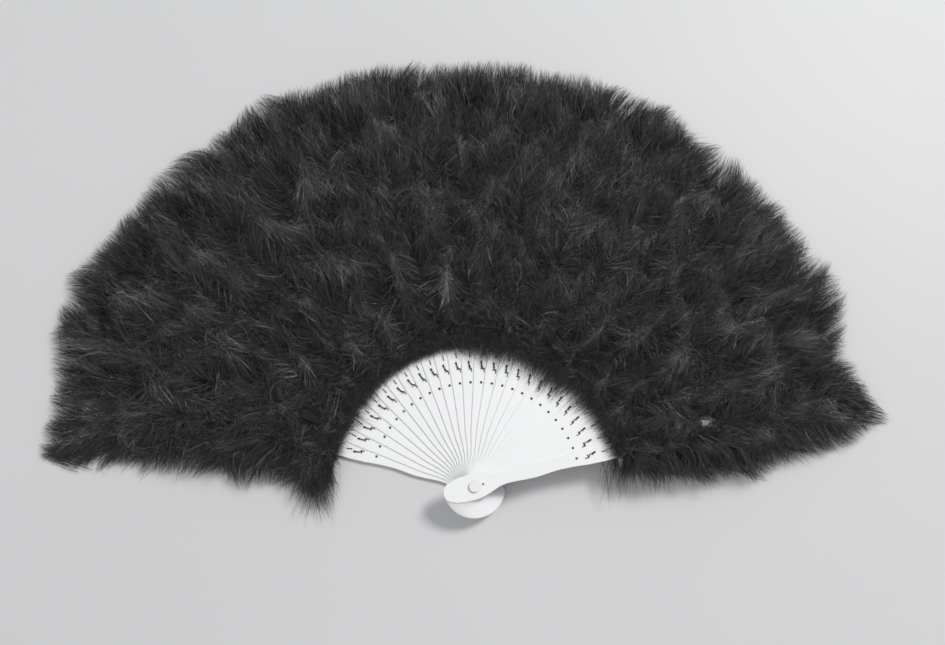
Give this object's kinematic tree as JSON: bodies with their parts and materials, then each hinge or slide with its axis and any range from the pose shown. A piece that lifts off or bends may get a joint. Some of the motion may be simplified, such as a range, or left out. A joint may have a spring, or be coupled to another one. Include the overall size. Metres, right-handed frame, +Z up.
{
  "type": "feather fan",
  "caption": "Folding hand fan: white moulded staves on one pivot, each carrying a soft black marabou plume; opens flat to a wide half round and closes onto one guard.",
  "frame": {"origin": "on the pivot axis, at the underside of the lower pivot head, which lies on the same surface as the plumes", "axes": "+Z up, square to the open fan; +Y along the middle of the open fan from the pivot to the feather rim; +X to the right seen from above"},
  "size_m": [0.816, 0.4625, 0.046],
  "materials": {
    "stave_plastic": "satin",
    "pivot_plastic": "gloss",
    "marabou": "matte"
  },
  "bodies": {
    "left_leaf": {"guard_left": "stave_plastic", "plume_left": "marabou", "pivot_post": "pivot_plastic", "washer_lower": "pivot_plastic", "washer_upper": "pivot_plastic", "pivot_cap": "pivot_plastic"},
    "leaf_01": {"stave_01": "stave_plastic", "plume_01": "marabou"},
    "leaf_02": {"stave_02": "stave_plastic", "plume_02": "marabou"},
    "leaf_03": {"stave_03": "stave_plastic", "plume_03": "marabou"},
    "leaf_04": {"stave_04": "stave_plastic", "plume_04": "marabou"},
    "leaf_05": {"stave_05": "stave_plastic", "plume_05": "marabou"},
    "leaf_06": {"stave_06": "stave_plastic", "plume_06": "marabou"},
    "leaf_07": {"stave_07": "stave_plastic", "plume_07": "marabou"},
    "leaf_08": {"stave_08": "stave_plastic", "plume_08": "marabou"},
    "leaf_09": {"stave_09": "stave_plastic", "plume_09": "marabou"},
    "leaf_10": {"stave_10": "stave_plastic", "plume_10": "marabou"},
    "leaf_11": {"stave_11": "stave_plastic", "plume_11": "marabou"},
    "leaf_12": {"stave_12": "stave_plastic", "plume_12": "marabou"},
    "leaf_13": {"stave_13": "stave_plastic", "plume_13": "marabou"},
    "leaf_14": {"stave_14": "stave_plastic", "plume_14": "marabou"},
    "leaf_15": {"stave_15": "stave_plastic", "plume_15": "marabou"},
    "leaf_16": {"stave_16": "stave_plastic", "plume_16": "marabou"},
    "leaf_17": {"stave_17": "stave_plastic", "plume_17": "marabou"},
    "leaf_18": {"stave_18": "stave_plastic", "plume_18": "marabou"},
    "leaf_19": {"stave_19": "stave_plastic", "plume_19": "marabou"},
    "leaf_20": {"stave_20": "stave_plastic", "plume_20": "marabou"},
    "leaf_21": {"stave_21": "stave_plastic", "plume_21": "marabou"},
    "leaf_22": {"stave_22": "stave_plastic", "plume_22": "marabou"},
    "leaf_23": {"stave_23": "stave_plastic", "plume_23": "marabou"},
    "leaf_24": {"stave_24": "stave_plastic", "plume_24": "marabou"},
    "right_leaf": {"guard_right": "stave_plastic", "plume_right": "marabou"}
  },
  "joints": [
    {"name": "fan_fold", "type": "hinge", "parent": "left_leaf", "child": "right_leaf", "pos_m": [0, 0, 0], "axis": [0, 0, 1], "range_deg": [0, 148.3], "deforming": ["plume_left", "plume_right"]},
    {"name": "leaf_01_turn", "type": "hinge", "parent": "left_leaf", "child": "leaf_01", "pos_m": [0, 0, 0], "axis": [0, 0, 1], "range_deg": [0, 5.93], "deforming": ["plume_01"]},
    {"name": "leaf_02_turn", "type": "hinge", "parent": "left_leaf", "child": "leaf_02", "pos_m": [0, 0, 0], "axis": [0, 0, 1], "range_deg": [0, 11.87], "deforming": ["plume_02"]},
    {"name": "leaf_03_turn", "type": "hinge", "parent": "left_leaf", "child": "leaf_03", "pos_m": [0, 0, 0], "axis": [0, 0, 1], "range_deg": [0, 17.8], "deforming": ["plume_03"]},
    {"name": "leaf_04_turn", "type": "hinge", "parent": "left_leaf", "child": "leaf_04", "pos_m": [0, 0, 0], "axis": [0, 0, 1], "range_deg": [0, 23.73], "deforming": ["plume_04"]},
    {"name": "leaf_05_turn", "type": "hinge", "parent": "left_leaf", "child": "leaf_05", "pos_m": [0, 0, 0], "axis": [0, 0, 1], "range_deg": [0, 29.66], "deforming": ["plume_05"]},
    {"name": "leaf_06_turn", "type": "hinge", "parent": "left_leaf", "child": "leaf_06", "pos_m": [0, 0, 0], "axis": [0, 0, 1], "range_deg": [0, 35.59], "deforming": ["plume_06"]},
    {"name": "leaf_07_turn", "type": "hinge", "parent": "left_leaf", "child": "leaf_07", "pos_m": [0, 0, 0], "axis": [0, 0, 1], "range_deg": [0, 41.52], "deforming": ["plume_07"]},
    {"name": "leaf_08_turn", "type": "hinge", "parent": "left_leaf", "child": "leaf_08", "pos_m": [0, 0, 0], "axis": [0, 0, 1], "range_deg": [0, 47.46], "deforming": ["plume_08"]},
    {"name": "leaf_09_turn", "type": "hinge", "parent": "left_leaf", "child": "leaf_09", "pos_m": [0, 0, 0], "axis": [0, 0, 1], "range_deg": [0, 53.39], "deforming": ["plume_09"]},
    {"name": "leaf_10_turn", "type": "hinge", "parent": "left_leaf", "child": "leaf_10", "pos_m": [0, 0, 0], "axis": [0, 0, 1], "range_deg": [0, 59.32], "deforming": ["plume_10"]},
    {"name": "leaf_11_turn", "type": "hinge", "parent": "left_leaf", "child": "leaf_11", "pos_m": [0, 0, 0], "axis": [0, 0, 1], "range_deg": [0, 65.25], "deforming": ["plume_11"]},
    {"name": "leaf_12_turn", "type": "hinge", "parent": "left_leaf", "child": "leaf_12", "pos_m": [0, 0, 0], "axis": [0, 0, 1], "range_deg": [0, 71.19], "deforming": ["plume_12"]},
    {"name": "leaf_13_turn", "type": "hinge", "parent": "left_leaf", "child": "leaf_13", "pos_m": [0, 0, 0], "axis": [0, 0, 1], "range_deg": [0, 77.12], "deforming": ["plume_13"]},
    {"name": "leaf_14_turn", "type": "hinge", "parent": "left_leaf", "child": "leaf_14", "pos_m": [0, 0, 0], "axis": [0, 0, 1], "range_deg": [0, 83.05], "deforming": ["plume_14"]},
    {"name": "leaf_15_turn", "type": "hinge", "parent": "left_leaf", "child": "leaf_15", "pos_m": [0, 0, 0], "axis": [0, 0, 1], "range_deg": [0, 88.98], "deforming": ["plume_15"]},
    {"name": "leaf_16_turn", "type": "hinge", "parent": "left_leaf", "child": "leaf_16", "pos_m": [0, 0, 0], "axis": [0, 0, 1], "range_deg": [0, 94.91], "deforming": ["plume_16"]},
    {"name": "leaf_17_turn", "type": "hinge", "parent": "left_leaf", "child": "leaf_17", "pos_m": [0, 0, 0], "axis": [0, 0, 1], "range_deg": [0, 100.84], "deforming": ["plume_17"]},
    {"name": "leaf_18_turn", "type": "hinge", "parent": "left_leaf", "child": "leaf_18", "pos_m": [0, 0, 0], "axis": [0, 0, 1], "range_deg": [0, 106.78], "deforming": ["plume_18"]},
    {"name": "leaf_19_turn", "type": "hinge", "parent": "left_leaf", "child": "leaf_19", "pos_m": [0, 0, 0], "axis": [0, 0, 1], "range_deg": [0, 112.71], "deforming": ["plume_19"]},
    {"name": "leaf_20_turn", "type": "hinge", "parent": "left_leaf", "child": "leaf_20", "pos_m": [0, 0, 0], "axis": [0, 0, 1], "range_deg": [0, 118.64], "deforming": ["plume_20"]},
    {"name": "leaf_21_turn", "type": "hinge", "parent": "left_leaf", "child": "leaf_21", "pos_m": [0, 0, 0], "axis": [0, 0, 1], "range_deg": [0, 124.57], "deforming": ["plume_21"]},
    {"name": "leaf_22_turn", "type": "hinge", "parent": "left_leaf", "child": "leaf_22", "pos_m": [0, 0, 0], "axis": [0, 0, 1], "range_deg": [0, 130.5], "deforming": ["plume_22"]},
    {"name": "leaf_23_turn", "type": "hinge", "parent": "left_leaf", "child": "leaf_23", "pos_m": [0, 0, 0], "axis": [0, 0, 1], "range_deg": [0, 136.44], "deforming": ["plume_23"]},
    {"name": "leaf_24_turn", "type": "hinge", "parent": "left_leaf", "child": "leaf_24", "pos_m": [0, 0, 0], "axis": [0, 0, 1], "range_deg": [0, 142.37], "deforming": ["plume_24"]}
  ],
  "couplings": [
    {"joint": "leaf_01_turn", "follows": "fan_fold", "ratio": 0.04},
    {"joint": "leaf_02_turn", "follows": "fan_fold", "ratio": 0.08},
    {"joint": "leaf_03_turn", "follows": "fan_fold", "ratio": 0.12},
    {"joint": "leaf_04_turn", "follows": "fan_fold", "ratio": 0.16},
    {"joint": "leaf_05_turn", "follows": "fan_fold", "ratio": 0.2},
    {"joint": "leaf_06_turn", "follows": "fan_fold", "ratio": 0.24},
    {"joint": "leaf_07_turn", "follows": "fan_fold", "ratio": 0.28},
    {"joint": "leaf_08_turn", "follows": "fan_fold", "ratio": 0.32},
    {"joint": "leaf_09_turn", "follows": "fan_fold", "ratio": 0.36},
    {"joint": "leaf_10_turn", "follows": "fan_fold", "ratio": 0.4},
    {"joint": "leaf_11_turn", "follows": "fan_fold", "ratio": 0.44},
    {"joint": "leaf_12_turn", "follows": "fan_fold", "ratio": 0.48},
    {"joint": "leaf_13_turn", "follows": "fan_fold", "ratio": 0.52},
    {"joint": "leaf_14_turn", "follows": "fan_fold", "ratio": 0.56},
    {"joint": "leaf_15_turn", "follows": "fan_fold", "ratio": 0.6},
    {"joint": "leaf_16_turn", "follows": "fan_fold", "ratio": 0.64},
    {"joint": "leaf_17_turn", "follows": "fan_fold", "ratio": 0.68},
    {"joint": "leaf_18_turn", "follows": "fan_fold", "ratio": 0.72},
    {"joint": "leaf_19_turn", "follows": "fan_fold", "ratio": 0.76},
    {"joint": "leaf_20_turn", "follows": "fan_fold", "ratio": 0.8},
    {"joint": "leaf_21_turn", "follows": "fan_fold", "ratio": 0.84},
    {"joint": "leaf_22_turn", "follows": "fan_fold", "ratio": 0.88},
    {"joint": "leaf_23_turn", "follows": "fan_fold", "ratio": 0.92},
    {"joint": "leaf_24_turn", "follows": "fan_fold", "ratio": 0.96}
  ]
}
